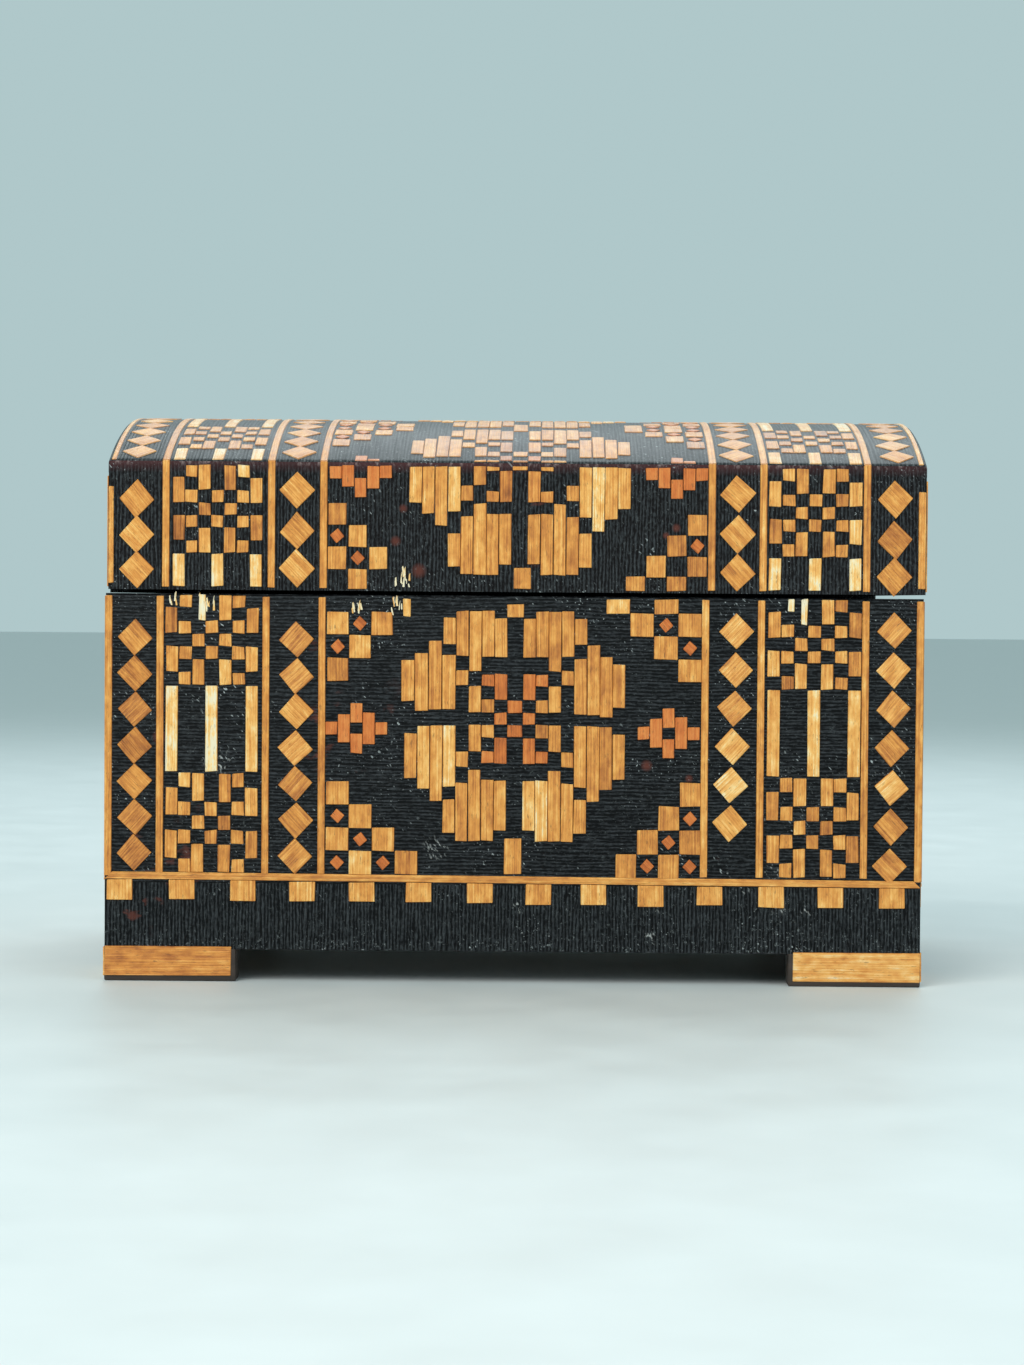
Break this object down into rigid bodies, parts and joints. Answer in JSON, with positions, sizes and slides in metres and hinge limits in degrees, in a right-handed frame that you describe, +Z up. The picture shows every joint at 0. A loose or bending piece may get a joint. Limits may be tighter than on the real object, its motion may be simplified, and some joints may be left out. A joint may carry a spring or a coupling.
{
  "type": "music box",
  "caption": "Barrel-lidded wooden casket with straw marquetry, hinged lid, keepsake compartment and a key-wound comb and cylinder movement.",
  "frame": {"origin": "middle of the underside of the whole object, on the surface it stands on", "axes": "+X to the right along the long side, +Y from the front to the hinges, +Z up"},
  "size_m": [0.1644, 0.1028, 0.1153],
  "materials": {
    "black_lacquer": "black lacquer over fine grain, worn satin",
    "lid_lacquer": "black lacquer with a dusty blue-grey sheen",
    "foot_wood": "dark stained wood",
    "stained_board": "brown stained plywood",
    "bare_wood": "bare pine",
    "straw": "split straw, silky along its grain",
    "red_felt": "dark red felt",
    "green_felt": "green felt",
    "clear_plastic": "clear polished sheet",
    "hinge_brass": "thin stamped brass, dulled",
    "cast_brass": "brushed brass",
    "bright_brass": "polished brass",
    "steel": "brushed steel",
    "spring_steel": "blued spring steel",
    "fan_aluminium": "thin sheet"
  },
  "bodies": {
    "case": {"plinth_front": "black_lacquer", "plinth_back": "black_lacquer", "plinth_left": "black_lacquer", "plinth_right": "black_lacquer", "bottom_board": "stained_board", "front_panel": "black_lacquer", "back_panel": "black_lacquer", "left_panel": "black_lacquer", "right_panel": "black_lacquer", "foot_front_left": "foot_wood", "foot_front_right": "foot_wood", "foot_back_left": "foot_wood", "foot_back_right": "foot_wood", "compartment_divider": "bare_wood", "compartment_lining": "red_felt", "cover_cleats": "bare_wood", "movement_cover": "clear_plastic", "hinge_leaf_case": "hinge_brass", "hinge_pins": "hinge_brass", "hinge_nails_case": "hinge_brass", "body_straw": "straw", "foot_straw": "straw", "bedplate": "cast_brass", "comb_base": "cast_brass", "comb": "steel", "comb_screws": "steel", "front_bearing": "cast_brass", "rear_bearing": "cast_brass", "governor_frame": "cast_brass", "movement_screws": "steel", "click_screw": "steel"},
    "lid": {"lid_front": "black_lacquer", "lid_back": "black_lacquer", "lid_end_left": "black_lacquer", "lid_end_right": "black_lacquer", "lid_top": "lid_lacquer", "lid_lining": "red_felt", "lid_stop_block": "bare_wood", "hinge_leaf_lid": "hinge_brass", "hinge_nails_lid": "hinge_brass", "lid_straw": "straw"},
    "winding": {"winding_arbor": "steel", "winding_key": "bright_brass", "ratchet_wheel": "steel"},
    "click": {"click": "steel", "click_spring": "steel"},
    "barrel": {"spring_barrel": "bright_brass", "barrel_cap": "bright_brass", "mainspring": "spring_steel"},
    "cylinder": {"cylinder_arbor": "steel", "pin_cylinder": "bright_brass", "cylinder_gear": "bright_brass"},
    "train": {"train_pinion": "steel", "worm_wheel": "bright_brass"},
    "governor": {"governor_worm": "steel", "governor_fan": "fan_aluminium"},
    "stop": {"stop_pin": "steel", "stop_pad": "green_felt"}
  },
  "joints": [
    {"name": "lid_hinge", "type": "hinge", "parent": "case", "child": "lid", "pos_m": [0, 0.05013, 0.07775], "axis": [-1, 0, 0], "range_deg": [0, 100]},
    {"name": "stop_slide", "type": "slide", "parent": "case", "child": "stop", "axis": [0, 0, 1], "range_m": [0, 0.0021]},
    {"name": "key_turn", "type": "hinge", "parent": "case", "child": "winding", "pos_m": [-0.0555, -0.024, 0.024], "axis": [0, 0, 1], "continuous": true},
    {"name": "click_swing", "type": "hinge", "parent": "case", "child": "click", "pos_m": [-0.044, -0.037, 0.0256], "axis": [0, 0, -1], "range_deg": [0, 10], "stiffness_Nm_per_rad": 0.002},
    {"name": "cylinder_spin", "type": "hinge", "parent": "case", "child": "cylinder", "pos_m": [-0.0555, 0.004, 0.0396], "axis": [0, 1, 0], "continuous": true},
    {"name": "barrel_spin", "type": "hinge", "parent": "case", "child": "barrel", "pos_m": [-0.0555, -0.024, 0.03], "axis": [0, 0, 1], "continuous": true},
    {"name": "train_spin", "type": "hinge", "parent": "case", "child": "train", "pos_m": [-0.0651, 0.02, 0.0396], "axis": [0, 1, 0], "continuous": true},
    {"name": "governor_spin", "type": "hinge", "parent": "case", "child": "governor", "pos_m": [-0.0715, 0.0208, 0.0396], "axis": [0, 0, 1], "continuous": true}
  ],
  "couplings": [
    {"joint": "stop_slide", "follows": "lid_hinge", "m_per_rad": 0.00114},
    {"joint": "barrel_spin", "follows": "cylinder_spin", "ratio": 0.22727},
    {"joint": "train_spin", "follows": "cylinder_spin", "ratio": -5},
    {"joint": "governor_spin", "follows": "cylinder_spin", "ratio": 120}
  ]
}
